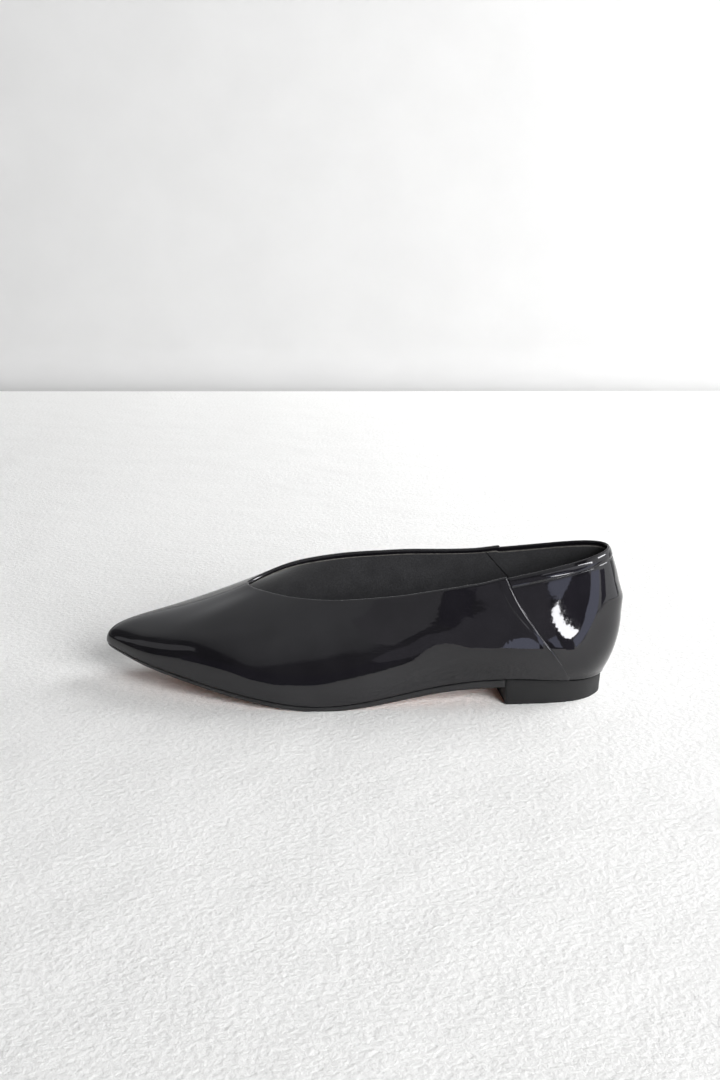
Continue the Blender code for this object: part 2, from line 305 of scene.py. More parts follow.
def topline(angles):
    """Points on the upper's rim."""
    return SHOE(angles)[:, 2:5]


def tangent_and_normal(line, angles):
    """Unit tangent and outward normal of a line around the shoe, seen from above."""
    step = 1e-4
    along = unit((line(angles + step) - line(angles - step)) * FLAT)
    outward = np.stack([-along[:, 1], along[:, 0], 0 * along[:, 0]], 1)
    return along, outward


def wall_points(angle, share):
    """Points on the last for every pair of angle and share of the way from sole to topline."""
    angle, share = np.broadcast_arrays(np.asarray(angle, float), np.asarray(share, float))
    angles = angle.ravel()
    part = share.ravel()[:, None]
    rest = 1 - part
    values = SHOE(angles)
    foot = feather_line(angles)
    rim = values[:, 2:5]
    flare = np.radians(values[:, 5:6])
    rise = values[:, 6:7]
    lean = np.radians(values[:, 7:8])
    run = values[:, 8:9]
    along, foot_out = tangent_and_normal(feather_line, angles)
    rim_out = tangent_and_normal(topline, angles)[1]
    span = rim - foot
    slide = (span * along).sum(1)[:, None] * along
    level = -span * FLAT
    length = np.linalg.norm(level, axis=1)[:, None]
    straight = smooth((length - LAY_FROM) / (LAY_TO - LAY_FROM))
    lay = unit(rim_out * (1 - straight) + level / length * straight)
    follow = 1 - smooth((length - TOE_FROM) / (TOE_TO - TOE_FROM))
    low = foot + (np.cos(flare) * UP + np.sin(flare) * foot_out) * rise + slide / 3 * follow
    high = rim + (np.sin(lean) * lay - np.cos(lean) * UP) * run - slide / 3 * (1 - straight)
    points = rest ** 3 * foot + 3 * rest ** 2 * part * low + 3 * rest * part ** 2 * high + part ** 3 * rim
    return points.reshape(angle.shape + (3,))


def wall_normals(angle, share):
    """Outward normals of the last."""
    step = 1e-3
    around = wall_points(angle + step, share) - wall_points(angle - step, share)
    upward = wall_points(angle, share + step) - wall_points(angle, share - step)
    return unit(np.cross(upward, around))


def rim_frame(angles):
    """Topline point, upward direction of the wall there and outward normal, and share per millimetre."""
    step = 1e-3
    top = np.ones(len(angles))
    rim = wall_points(angles, top)
    climb = (rim - wall_points(angles, top - step)) / step
    speed = np.linalg.norm(climb, axis=1)
    return rim, unit(climb), wall_normals(angles, top), 1 / speed


def corner_lift(angles):
    """How far the vamp's corner stands up, by the length along the topline from the seam."""
    seams = topline(np.array([SEAM, 2 * pi - SEAM]))
    points = topline(angles)
    reach = np.linalg.norm(points[:, None, :] - seams[None, :, :], axis=2).min(axis=1)
    return CORNER_LIFT * (1 - smooth(reach / CORNER_REACH))


def seam_spread(seam, shares):
    """Millimetres square to the seam for one radian of angle, at each share."""
    step = 1e-3
    angles = np.full(len(shares), seam)
    around = (wall_points(angles + step, shares) - wall_points(angles - step, shares)) / (2 * step)
    upward = unit(wall_points(angles, shares + step) - wall_points(angles, shares - step))
    square = around - (around * upward).sum(1)[:, None] * upward
    return np.linalg.norm(square, axis=1)


def sole_height(station):
    """Height of the feather line above the floor at a station."""
    station = np.clip(np.asarray(station, float), TOE_X, HEEL_SEAT_X)
    flat = np.arccos((station.ravel() - MID_X) / HALF_LENGTH)
    return SHOE(flat)[:, 1].reshape(station.shape)


def sole_thickness(station):
    """Thickness of the outsole at a station."""
    table = np.array(SOLE_THICKNESS)[::-1]
    return np.interp(station, table[:, 0], table[:, 1])


def breast_x(y):
    """Front of the heel, which lies a little askew."""
    return BREAST_X - tan(radians(BREAST_TURN)) * (y - BREAST_SIDE_Y)


def outline(angles, inset):
    """Feather line moved inwards, as x and y."""
    line = feather_line(angles)
    normal = tangent_and_normal(feather_line, angles)[1]
    return (line - normal * np.asarray(inset)[..., None])[:, :2]


# Meshes

def grid_faces(rows, columns, wrap_rows=False, wrap_columns=False):
    """Four-cornered faces over a grid of points stored row by row."""
    row_count = rows if wrap_rows else rows - 1
    column_count = columns if wrap_columns else columns - 1
    row, column = np.meshgrid(np.arange(row_count), np.arange(column_count), indexing="ij")
    above = (row + 1) % rows
    ahead = (column + 1) % columns
    here = row * columns
    next_row = above * columns
    corners = (here + column, here + ahead, next_row + ahead, next_row + column)
    return np.stack(corners, -1).reshape(-1, 4).tolist()


def zip_faces(left, right):
    """Triangles between two chains of points that start and end side by side."""
    faces = []
    a = 0
    b = 0
    while a < len(left) - 1 or b < len(right) - 1:
        step_left = (a + 1) / max(len(left) - 1, 1)
        step_right = (b + 1) / max(len(right) - 1, 1)
        if b == len(right) - 1 or (a < len(left) - 1 and step_left <= step_right):
            faces.append((left[a], left[a + 1], right[b]))
            a += 1
        else:
            faces.append((left[a], right[b + 1], right[b]))
            b += 1
    return faces


WELD = 2e-7                 # metres
THIN_EDGE = 1e-7
CREASE = 50.0               # degrees


def make_piece(name, points, faces, finishes, face_finish, node):
    """Make one welded, smooth piece in metres that stands for a solid of the shoe."""
    placed = (np.asarray(points).reshape(-1, 3) + np.array([0.0, HEEL_LINE_Y, 0.0])) * MM
    mesh = bpy.data.meshes.new(name)
    mesh.from_pydata(placed.tolist(), [], faces)
    for finish in finishes:
        mesh.materials.append(finish)
    mesh.polygons.foreach_set("material_index", np.asarray(face_finish, dtype=np.int32))
    work = bmesh.new()
    work.from_mesh(mesh)
    bmesh.ops.remove_doubles(work, verts=work.verts, dist=WELD)
    bmesh.ops.dissolve_degenerate(work, edges=work.edges, dist=THIN_EDGE)
    bmesh.ops.recalc_face_normals(work, faces=work.faces)
    for face in work.faces:
        face.smooth = True
    work.to_mesh(mesh)
    work.free()
    mesh.set_sharp_from_angle(angle=radians(CREASE))
    piece = bpy.data.objects.new(name, mesh)
    bpy.context.scene.collection.objects.link(piece)
    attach(piece, "root")
    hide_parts(node)
    return piece


# Upper leather

FOOT_SHARES = (0.0, 0.0012, 0.003, 0.006, 0.010, 0.015, 0.021)
BODY_FROM = 0.03            # shares of the wall between the turned foot and the crown
BODY_TO = 0.86
LINING_BODY_TO = 0.9


def leather_rows(middle, top):
    """Shares up the wall, close together at the sole and below the topline."""
    body = np.linspace(BODY_FROM, BODY_TO, middle)
    crown = np.linspace(BODY_TO, 1.0, top + 1)[1:]
    return np.concatenate([FOOT_SHARES, body, crown])


def seam_lines(ahead, shares):
    """Angles of lines beside the outer and the inner side seam, by their distance ahead of it."""
    inner_seam = 2 * pi - SEAM
    outer_side = SEAM + ahead / seam_spread(SEAM, shares)[:, None]
    inner_side = inner_seam - ahead[:, ::-1] / seam_spread(inner_seam, shares)[:, None]
    return outer_side, inner_side


def lines_between(start, end, count):
    """Angles of even lines from the last line of one set to the first line of the next."""
    part = np.linspace(0.0, 1.0, count + 2)[1:-1]
    return start[:, -1:] + (end[:, :1] - start[:, -1:]) * part[None, :]


def lifted(shares, lift, climb):
    """Shift of the wall's upper rows where the vamp's corner stands up."""
    fade = smooth((shares - LIFT_FROM) / (1 - LIFT_FROM))
    return (fade * lift[None, :])[:, :, None] * climb[None, :, :]


def turned_panel(angles, shares, outer, back, fold, lift):
    """Leather from the sole up the wall, over the topline and down inside; rows run around the leather."""
    rim, climb, normal, share_per_mm = rim_frame(angles[-1])
    reach = shares[:, None] * (1 - RIM_HEIGHT * share_per_mm)[None, :]
    face = wall_points(angles, reach)
    normals = wall_normals(angles, reach)
    raised = lifted(reach, lift, climb)
    outside = face + normals * outer[:, :, None] + raised

    crest = rim + climb * (lift - RIM_HEIGHT * END_EASE * (1 - fold))[:, None]
    edge_out = outer[-1]
    edge_in = FACING_FACE * fold + (1 - fold) * (FACING_FACE + END_EASE)
    over = []
    for turn in np.linspace(0.0, pi, RIM_LINES + 2)[1:-1]:
        across = (edge_out + edge_in) / 2 + (edge_out - edge_in) / 2 * np.cos(turn)
        height = RIM_HEIGHT * (np.sin(turn) - 1)
        over.append(crest + normal * across[:, None] + climb * height)
    for depth in FACING_DEPTHS:
        over.append(crest + normal * edge_in[:, None] - climb * (RIM_HEIGHT + depth))

    hidden = np.linspace(len(shares) - OPEN_LINES, 0, BACK_LINES).round().astype(int)
    below = np.minimum(back, outer[hidden] - LEATHER_THICK)
    inside = face[hidden] + normals[hidden] * below[:, :, None] + raised[hidden]
    return np.concatenate([outside, np.array(over), inside])


def foot_curl(angles, shares):
    """How far the leather turns in over the sole's edge, and the height above that edge."""
    face = wall_points(angles, np.broadcast_to(shares[:, None], angles.shape))
    steps = np.linalg.norm(np.diff(face, axis=0), axis=2)
    height = np.concatenate([np.zeros((1, angles.shape[1])), np.cumsum(steps, axis=0)])
    left = np.clip(FOOT_CURL - height, 0.0, FOOT_CURL)
    return FOOT_CURL - np.sqrt(FOOT_CURL ** 2 - left ** 2), height


def leather_piece(name, points, patent):
    """Close a turned panel along both side edges and make it a piece of the upper."""
    rows, columns = points.shape[:2]
    faces = grid_faces(rows, columns, wrap_rows=True)
    for column in (0, columns - 1):
        chain = [row * columns + column for row in range(rows)]
        faces += zip_faces(chain[:rows - BACK_LINES], chain[:rows - BACK_LINES - 1:-1])
    return make_piece(name, points, faces, [patent], np.zeros(len(faces)), "upper")


def make_vamp(patent):
    """Front of the upper, folded under along both side seams and over along the topline."""
    shares = leather_rows(52, 20)
    reach = np.array(SEAM_REACH)
    outer_side, inner_side = seam_lines(reach[None, :], shares)
    around_toe = lines_between(outer_side, inner_side, VAMP_LINES)
    angles = np.concatenate([outer_side, around_toe, inner_side], axis=1)
    near = np.concatenate([reach, np.full(VAMP_LINES, FAR), reach[::-1]])

    step = VAMP_STEP * (FOOT_STEP + (1 - FOOT_STEP) * smooth(shares / VAMP_FADE))
    fold = np.sqrt(1 - (1 - np.clip(near / FOLD, 0.0, 1.0)) ** 2)
    strip = STRIP_NARROW + (STRIP_WIDE - STRIP_NARROW) * smooth((shares - STRIP_FROM) / STRIP_RISE)
    pressed = np.exp(-((near[None, :] - strip[:, None]) / TROUGH_WIDTH) ** 2)
    pressed *= smooth((shares - TROUGH_FROM) / TROUGH_RISE)[:, None]
    bead = FOLD_BEAD * np.exp(-((near - BEAD_PLACE) / BEAD_WIDTH) ** 2)
    outer = UNDERLAP + (step[:, None] - UNDERLAP) * fold[None, :] - TROUGH_DEPTH * pressed
    outer -= foot_curl(angles, shares)[0]
    outer += bead[None, :] * (step / VAMP_STEP)[:, None]
    points = turned_panel(angles, shares, outer, UNDERLAP, fold, corner_lift(angles[-1]))
    return leather_piece("vamp", points, patent)


def make_quarter(patent):
    """Back of the upper, with a taped band along its topline; its front edges lie under the vamp."""
    shares = leather_rows(40, 40)
    reach = np.array(UNDER_REACH)
    outer_side, inner_side = seam_lines(reach[None, :], shares)
    inner_side = inner_side - 2 * pi
    around_heel = lines_between(outer_side, inner_side, QUARTER_LINES)
    angles = np.concatenate([outer_side, around_heel, inner_side], axis=1)
    near = np.concatenate([reach, np.full(QUARTER_LINES, -FAR), reach[::-1]])

    curl, height = foot_curl(angles, shares)
    below_rim = height[-1][None, :] - height
    off_crown = np.abs(below_rim - BAND_WIDTH * BAND_CROWN) / (BAND_WIDTH * (1 - BAND_CROWN))
    pillow = np.clip(1 - off_crown ** 4, 0.0, 1.0)
    groove = np.exp(-((below_rim - BAND_WIDTH - GROOVE_PLACE) / GROOVE_WIDTH) ** 2)
    relief = 1 - smooth((near + RELIEF_END) / RELIEF_FADE)
    outer = (BAND_HEIGHT * pillow - BAND_GROOVE * groove) * relief[None, :] - curl
    outer -= UNDER_DROP * smooth((near - DROP_FROM) / DROP_RUN)[None, :]
    outer += LIP_RISE * np.exp(-((height - LIP_PLACE) / LIP_WIDTH) ** 2) * relief[None, :]
    above_floor = wall_points(angles, np.broadcast_to(shares[:, None], angles.shape))[:, :, 2]
    ridge = np.clip(1 - np.abs(above_floor - COUNTER_TOP) / COUNTER_SPAN, 0.0, 1.0) ** 1.5
    outer += COUNTER_RIDGE * ridge * smooth(1 - np.abs(angles) / COUNTER_TURN)
    fold = 1 - UNDER_RIM * smooth((near + EASE_BEHIND) / EASE_RUN)
    points = turned_panel(angles, shares, outer, QUARTER_BACK, fold, 0 * near)
    return leather_piece("quarter", points, patent)


def make_lining(lining, cut_edge):
    """Lining of vamp and heel, with a slanted seam on each side and a raw top edge."""
    body = np.linspace(LINING_FOOT, LINING_BODY_TO, 40)
    shares = np.concatenate([body, np.linspace(LINING_BODY_TO, 1.0, 13)[1:]])
    reach = np.array(LINING_REACH)
    ahead_of_seam = (LINING_SEAM - LINING_SLANT * (1 - shares))[:, None] + reach[None, :]
    outer_seam, inner_seam = seam_lines(ahead_of_seam, shares)
    vamp_part = lines_between(outer_seam, inner_seam, VAMP_LINING_LINES)
    heel_part = lines_between(inner_seam, outer_seam + 2 * pi, HEEL_LINING_LINES)
    angles = np.concatenate([outer_seam, vamp_part, inner_seam, heel_part], axis=1)
    before = np.full(VAMP_LINING_LINES, FAR)
    behind = np.full(HEEL_LINING_LINES, -FAR)
    ahead = np.concatenate([reach, before, reach[::-1], behind])
    heel = 1 - smooth((ahead + GRIP_EDGE) / (2 * GRIP_EDGE))
    ditch = np.exp(-(ahead / DITCH_WIDTH) ** 2)

    tops = angles[-1]
    _, climb, _, share_per_mm = rim_frame(tops)
    on_quarter = 1 - smooth((ahead + LINING_SEAM + FACING_FADE / 2) / FACING_FADE)
    bare = VAMP_FACING + (QUARTER_FACING - VAMP_FACING) * on_quarter
    part = shares[:, None] * (1 - bare * share_per_mm)[None, :]
    normals = wall_normals(angles, part)
    face = wall_points(angles, part) + lifted(part, corner_lift(tops) * (1 - on_quarter), climb)
    depth = -WALL - HEEL_GRIP * heel + DITCH_DEPTH * ditch

    last = len(shares) - 1
    back_rows = np.linspace(0, last, LINING_BACK_LINES).round().astype(int)
    layers = [face[row] + normals[row] * LINING_BACK for row in back_rows]
    for portion, drop in RAW_EDGE:
        across = LINING_BACK + (depth - LINING_BACK) * portion
        layers.append(face[last] + normals[last] * across[:, None] - climb * drop)
    for row in range(last, -1, -1):
        drop = RAW_ROUND if row == last else 0.0
        layers.append(face[row] + normals[row] * depth[:, None] - climb * drop)
    points = np.array(layers)
    rows, columns = points.shape[:2]
    faces = grid_faces(rows, columns, wrap_rows=True, wrap_columns=True)
    row_finish = np.zeros(rows, dtype=int)
    row_finish[LINING_BACK_LINES - 1:LINING_BACK_LINES + len(RAW_EDGE)] = 1
    face_finish = np.repeat(row_finish, columns)
    make_piece("lining", points, faces, [lining, cut_edge], face_finish, "upper")


# Sole parts

BREAST_SEARCH = (0.3, 1.6)      # angles behind and in front of the heel's front
OUTSOLE_END = (0.25, 0.35)      # how far the second row and the rest stay off the heel's front
HEEL_END = (0.4, 0.5)
OUTSOLE_END_ROUND = 0.25        # radius of the edges at that end
HEEL_END_ROUND = 0.35


def flat_piece(outer_line, inner_line, edge, top, low, tuck):
    """Points of a flat piece, row by row along the shoe, each row a closed loop across it.

    edge holds (inset, share of the height, rise) from the upper side to the underside; tuck pulls
    single rows in to round off the ends.
    """
    across = np.linspace(0.0, 1.0, SOLE_LINES + 2)[1:-1, None, None]
    sides = []
    for line in (outer_line, inner_line):
        chain = []
        for inset, share, rise in edge:
            plan = line(inset + tuck)
            high = top(plan) - tuck
            bottom = low(plan) + tuck
            height = bottom + (high - bottom) * share + rise
            chain.append(np.column_stack([plan, height]))
        sides.append(np.array(chain))
    outer_side, inner_side = sides

    def strips(start, end, level, lift):
        lines = start[None] * (1 - across) + end[None] * across
        for line in lines:
            line[:, 2] = level(line[:, :2]) + lift
        return lines

    under = strips(outer_side[-1], inner_side[-1], low, tuck)
    over = strips(inner_side[0], outer_side[0], top, -tuck)
    return np.concatenate([outer_side, under, inner_side[::-1], over]).transpose(1, 0, 2)


def breast_angle(inner):
    """Angle where the feather line crosses the front of the heel."""
    low, high = BREAST_SEARCH
    for _ in range(50):
        middle = (low + high) / 2
        angle = 2 * pi - middle if inner else middle
        point = feather_line(np.array([angle]))[0]
        if point[0] > breast_x(point[1]):
            low = middle
        else:
            high = middle
    return low


def along_shoe(first, last, count):
    """Angles of matching rows on the outer and the inner side; first and last hold both sides' ends."""
    part = np.linspace(0.0, 1.0, count)
    outer, inner = [start + (end - start) * part for start, end in zip(first, last)]
    return outer, 2 * pi - inner


def feather_top(plan):
    """Upper side of outsole and heel, just below the upper."""
    return sole_height(plan[:, 0]) - GAP


def make_sole_piece(node, name, rows, edge_lines, end_row, finishes):
    """Piece with one finish on its edge and another on its underside, closed at its end row."""
    count, length = rows.shape[:2]
    faces = grid_faces(count, length, wrap_columns=True)
    end = range(end_row * length, (end_row + 1) * length)
    # The first row is seen from its other side, so its loop runs the other way
    faces.append(tuple(end) if end_row else tuple(reversed(end)))
    loop_finish = np.zeros(length, dtype=int)
    loop_finish[edge_lines - 2:length - SOLE_LINES - edge_lines + 1] = 1
    face_finish = np.append(np.tile(loop_finish, count - 1), 0)
    make_piece(name, rows, faces, finishes, face_finish, node)


def make_sock(sock):
    """Sock over the insole, soft at its edge and turned up a little towards the lining."""
    outer_angles, inner_angles = along_shoe((0.0, 0.0), (pi, pi), SOCK_ROWS)

    def lining_line(angles):
        def line(inset):
            heights = np.full(len(angles), SOCK_SHARE)
            face = wall_points(angles, heights)
            out = unit(wall_normals(angles, heights) * FLAT)
            return (face - out * np.asarray(WALL + HEEL_GRIP * 0.5 + inset)[..., None])[:, :2]
        return line

    def low(plan):
        return sole_height(plan[:, 0]) + GAP

    def top(plan):
        return sole_height(plan[:, 0]) + INSOLE_THICK

    edge = (
        (SOCK_ROUND * 2.5, 1.0, SOCK_CUP * 0.35),
        (SOCK_ROUND, 1.0, SOCK_CUP * 0.8),
        (SOCK_ROUND * 0.4, 1.0, SOCK_CUP),
        (0.05, 1.0, SOCK_CUP * 0.8),
        (0.0, 0.8, SOCK_CUP * 0.5),
        (0.3, 0.0, 0.0),
    )
    even = np.zeros(SOCK_ROWS)
    rows = flat_piece(lining_line(outer_angles), lining_line(inner_angles), edge, top, low, even)
    faces = grid_faces(*rows.shape[:2], wrap_columns=True)
    make_piece("insole_sock", rows, faces, [sock], np.zeros(len(faces)), "insole")


def make_outsole(inked_edge, underside):
    """Thin outsole from toe to heel breast, with an inked edge."""
    breast = (breast_angle(False), breast_angle(True))
    outer_angles, inner_angles = along_shoe(breast, (pi, pi), OUTSOLE_ROWS)
    second, rest = OUTSOLE_END

    def from_breast(angles):
        def line(inset):
            plan = outline(angles, inset)
            front = breast_x(plan[:, 1]) - GAP
            plan[0, 0] = front[0]
            plan[1, 0] = front[1] - second
            plan[2:, 0] = np.minimum(plan[2:, 0], front[2:] - rest)
            return plan
        return line

    def low(plan):
        return np.maximum(sole_height(plan[:, 0]) - sole_thickness(plan[:, 0]), 0.0)

    tuck = np.zeros(OUTSOLE_ROWS)
    tuck[0] = OUTSOLE_END_ROUND
    foot = SOLE_EDGE_TAPER
    edge = (
        (1.2, 1.0, 0.0),
        (0.35, 1.0, 0.0),
        (0.1, 1.0, -0.1),
        (0.0, 1.0, -0.35),
        (0.16, 0.66, 0.0),
        (0.34, 0.33, 0.0),
        (foot, 0.0, 0.35),
        (foot + 0.12, 0.0, 0.1),
        (foot + 0.38, 0.0, 0.0),
        (foot + 1.4, 0.0, 0.0),
    )
    rows = flat_piece(from_breast(outer_angles), from_breast(inner_angles), edge, feather_top, low, tuck)
    make_sole_piece("outsole", "outsole_edge_inked", rows, len(edge), 0, [inked_edge, underside])


def make_heel(heel_cover, heel_tip):
    """Low block heel under the seat, with its edges a little rounded."""
    breast = (breast_angle(False), breast_angle(True))
    outer_angles, inner_angles = along_shoe((0.0, 0.0), breast, HEEL_ROWS)
    second, rest = HEEL_END

    def to_breast(angles):
        def line(inset):
            plan = outline(angles, inset)
            front = breast_x(plan[:, 1])
            plan[-1, 0] = front[-1]
            plan[-2, 0] = front[-2] + second
            plan[:-2, 0] = np.maximum(plan[:-2, 0], front[:-2] + rest)
            return plan
        return line

    def low(plan):
        return 0.0 * plan[:, 0]

    tuck = np.zeros(HEEL_ROWS)
    tuck[-1] = HEEL_END_ROUND
    high = HEEL_INSET_TOP
    foot = HEEL_INSET_FLOOR
    lean = foot - high
    edge = (
        (high + 1.2, 1.0, 0.0),
        (high + 0.3, 1.0, 0.0),
        (high + 0.08, 1.0, -0.08),
        (high, 1.0, -0.3),
        (high + lean * 0.3, 0.7, 0.0),
        (high + lean * 0.6, 0.4, 0.0),
        (foot - 0.05, 0.0, 0.6),
        (foot, 0.0, 0.4),
        (foot + 0.12, 0.0, 0.12),
        (foot + 0.4, 0.0, 0.0),
        (foot + 1.4, 0.0, 0.0),
    )
    rows = flat_piece(to_breast(outer_angles), to_breast(inner_angles), edge, feather_top, low, tuck)
    make_sole_piece("heel", "heel_block", rows, len(edge), HEEL_ROWS - 1, [heel_cover, heel_tip])


# Finishes

def linear(code):
    """sRGB hex to the linear colour that shaders take."""
    parts = [int(code[k:k + 2], 16) / 255 for k in (1, 3, 5)]
    return tuple(p / 12.92 if p <= 0.04045 else ((p + 0.055) / 1.055) ** 2.4 for p in parts) + (1.0,)


def per_metre(size_mm):
    """Scale of a texture whose features are this many millimetres apart."""
    return 1000.0 / size_mm


def add_node(tree, kind, settings=None, links=None, stops=()):
    """Add a node, set its sockets and properties and link its inputs; stops fill a ramp, as place and hex."""
    node = tree.nodes.new("ShaderNode" + kind)
    for name, value in (settings or {}).items():
        if isinstance(name, int) or name in node.inputs:
            node.inputs[name].default_value = value
        else:
            setattr(node, name, value)
    for name, source in (links or {}).items():
        tree.links.new(source, node.inputs[name])
    if stops:
        elements = node.color_ramp.elements
        while len(elements) < len(stops):
            elements.new(0.5)
        for element, (place, code) in zip(elements, stops):
            element.position = place
            element.color = linear(code)
    return node


def empty_tree(holder):
    """Node tree of a material or of the world, with nothing in it yet."""
    holder.use_nodes = True
    holder.node_tree.nodes.clear()
    return holder.node_tree


def new_finish(name):
    """Material with its tree and the link that lays a pattern over the piece."""
    finish = bpy.data.materials.new(name)
    tree = empty_tree(finish)
    place = {"Vector": add_node(tree, "TexCoord").outputs["Object"]}
    return finish, tree, place


def cover(tree, settings, color, gloss=None, reliefs=()):
    """End a finish with its surface.

    gloss holds a pattern with the lowest and highest roughness along it; each relief holds a pattern, its
    strength and its height in millimetres, and lies over the one before.
    """
    links = {"Base Color": color}
    if gloss:
        pattern, lowest, highest = gloss
        rough = add_node(tree, "MapRange", {"To Min": lowest, "To Max": highest}, {"Value": pattern})
        links["Roughness"] = rough.outputs["Result"]
    below = {}
    for pattern, strength, height in reliefs:
        bump = add_node(tree, "Bump", {"Strength": strength, "Distance": height * MM},
                        {"Height": pattern, **below})
        below = {"Normal": bump.outputs["Normal"]}
    surface = add_node(tree, "BsdfPrincipled", settings, {**links, **below})
    add_node(tree, "OutputMaterial", links={"Surface": surface.outputs["BSDF"]})


def patent_leather():
    """Split leather under a poured and cured black lacquer film: a mirror over black.

    The film levels almost flat, so it reflects sharply, but it keeps a faint orange peel and
    follows the fibres under it in slow waves, which ripple the edges of the reflections.
    """
    finish, tree, place = new_finish("black_patent_leather")
    peel = add_node(tree, "TexNoise", {"Scale": per_metre(1.3), "Detail": 2.0, "Roughness": 0.55}, place)
    ripple = add_node(tree, "TexNoise", {"Scale": per_metre(2.4), "Detail": 1.0}, place)
    waves = add_node(tree, "TexNoise", {"Scale": per_metre(13.0), "Detail": 1.0}, place).outputs["Fac"]
    tint = add_node(tree, "ValToRGB", links={"Fac": waves}, stops=((0.3, "#0d0c0f"), (0.7, "#121114")))
    reliefs = ((waves, 1.0, 0.012), (ripple.outputs["Fac"], 1.0, 0.012), (peel.outputs["Fac"], 1.0, 0.003))
    cover(tree, {"IOR": 1.55}, tint.outputs["Color"], (waves, 0.03, 0.06), reliefs)
    return finish


def brushed_lining():
    """Microfibre lining with a brushed face: matte dark grey with a short nap that lies in soft patches."""
    finish, tree, place = new_finish("brushed_microfibre_lining")
    nap = add_node(tree, "TexNoise", {"Scale": per_metre(9.0), "Detail": 3.0}, place)
    # The real fibres are too fine to show, so they are drawn 0.7 mm wide
    fibre = add_node(tree, "TexNoise", {"Scale": per_metre(0.7), "Detail": 3.0, "Roughness": 0.7}, place)
    tint = add_node(tree, "ValToRGB", links={"Fac": nap.outputs["Fac"]},
                    stops=((0.3, "#2d2d2f"), (0.7, "#353537")))
    speck = add_node(tree, "ValToRGB", links={"Fac": fibre.outputs["Fac"]},
                     stops=((0.35, "#c9c9c9"), (0.65, "#ffffff")))
    color = add_node(tree, "Mix", {"data_type": "RGBA", "blend_type": "MULTIPLY", "Factor": 1.0},
                     {6: tint.outputs["Color"], 7: speck.outputs["Color"]})
    soft = {"Roughness": 0.95, "Specular IOR Level": 0.2, "Sheen Weight": 0.25, "Sheen Roughness": 0.5}
    cover(tree, soft, color.outputs[2], reliefs=((fibre.outputs["Fac"], 0.6, 0.12),))
    return finish


def raw_lining_edge():
    """Cut edge of the lining, where the undyed fibres show as a thin pale line."""
    finish, tree, place = new_finish("raw_cut_lining_edge")
    fray = add_node(tree, "TexNoise", {"Scale": per_metre(1.5), "Detail": 3.0}, place).outputs["Fac"]
    tint = add_node(tree, "ValToRGB", links={"Fac": fray}, stops=((0.3, "#4a4947"), (0.7, "#656360")))
    dull = {"Roughness": 0.9, "Specular IOR Level": 0.2}
    cover(tree, dull, tint.outputs["Color"], reliefs=((fray, 0.5, 0.1),))
    return finish


def sock_leather():
    """Thin finished sheepskin over the insole: dark grey, satin, with a fine even grain."""
    finish, tree, place = new_finish("grained_sock_leather")
    grain = add_node(tree, "TexVoronoi", {"Scale": per_metre(1.1)}, place).outputs["Distance"]
    shade = add_node(tree, "TexNoise", {"Scale": per_metre(18.0), "Detail": 3.0}, place)
    tint = add_node(tree, "ValToRGB", links={"Fac": shade.outputs["Fac"]},
                    stops=((0.3, "#29292b"), (0.7, "#333336")))
    satin = {"Specular IOR Level": 0.35}
    cover(tree, satin, tint.outputs["Color"], (grain, 0.5, 0.65), ((grain, 0.5, 0.08),))
    return finish


def inked_sole_edge():
    """Sole edge trimmed square and inked black: satin, with fine lines along it from the trimmer."""
    finish, tree, place = new_finish("trimmed_and_inked_sole_edge")
    squeeze = add_node(tree, "Mapping", {"Scale": (0.06, 0.06, 1.0)}, place)
    lines = add_node(tree, "TexNoise", {"Scale": per_metre(0.5), "Detail": 2.0},
                     {"Vector": squeeze.outputs["Vector"]}).outputs["Fac"]
    tint = add_node(tree, "ValToRGB", links={"Fac": lines}, stops=((0.3, "#161617"), (0.7, "#242425")))
    cover(tree, {"IOR": 1.48}, tint.outputs["Color"], (lines, 0.38, 0.55), ((lines, 0.4, 0.06),))
    return finish


def resin_sole():
    """Brown resin sheet sole, calendered and buffed: matte with a fine grit and slightly cloudy colour."""
    finish, tree, place = new_finish("buffed_brown_resin_sole")
    cloud = add_node(tree, "TexNoise", {"Scale": per_metre(25.0), "Detail": 4.0}, place)
    grit = add_node(tree, "TexNoise", {"Scale": per_metre(0.9), "Detail": 3.0, "Roughness": 0.65},
                    place).outputs["Fac"]
    tint = add_node(tree, "ValToRGB", links={"Fac": cloud.outputs["Fac"]},
                    stops=((0.3, "#7a4a33"), (0.7, "#8f5a40")))
    cover(tree, {"IOR": 1.5}, tint.outputs["Color"], (grit, 0.5, 0.75), ((grit, 0.5, 0.1),))
    return finish


def painted_heel():
    """Moulded plastic heel, sprayed satin black: soft grey highlights with a faint spray texture."""
    finish, tree, place = new_finish("satin_sprayed_heel")
    # Spray dots are finer than a pixel, so they are drawn 0.8 mm wide
    spray = add_node(tree, "TexNoise", {"Scale": per_metre(0.8), "Detail": 3.0, "Roughness": 0.6}, place)
    rub = add_node(tree, "TexNoise", {"Scale": per_metre(14.0), "Detail": 3.0}, place).outputs["Fac"]
    tint = add_node(tree, "ValToRGB", links={"Fac": rub}, stops=((0.3, "#0f0f10"), (0.7, "#151516")))
    cover(tree, {"IOR": 1.5}, tint.outputs["Color"], (rub, 0.5, 0.62), ((spray.outputs["Fac"], 0.4, 0.05),))
    return finish


def rubber_heel_tip():
    """Moulded black rubber under the heel: dull, finely pitted."""
    finish, tree, place = new_finish("moulded_rubber_heel_tip")
    pits = add_node(tree, "TexNoise", {"Scale": per_metre(1.0), "Detail": 4.0, "Roughness": 0.7},
                    place).outputs["Fac"]
    tint = add_node(tree, "ValToRGB", links={"Fac": pits}, stops=((0.35, "#171717"), (0.65, "#262626")))
    cover(tree, {"Roughness": 0.8, "IOR": 1.52}, tint.outputs["Color"], reliefs=((pits, 0.6, 0.1),))
    return finish


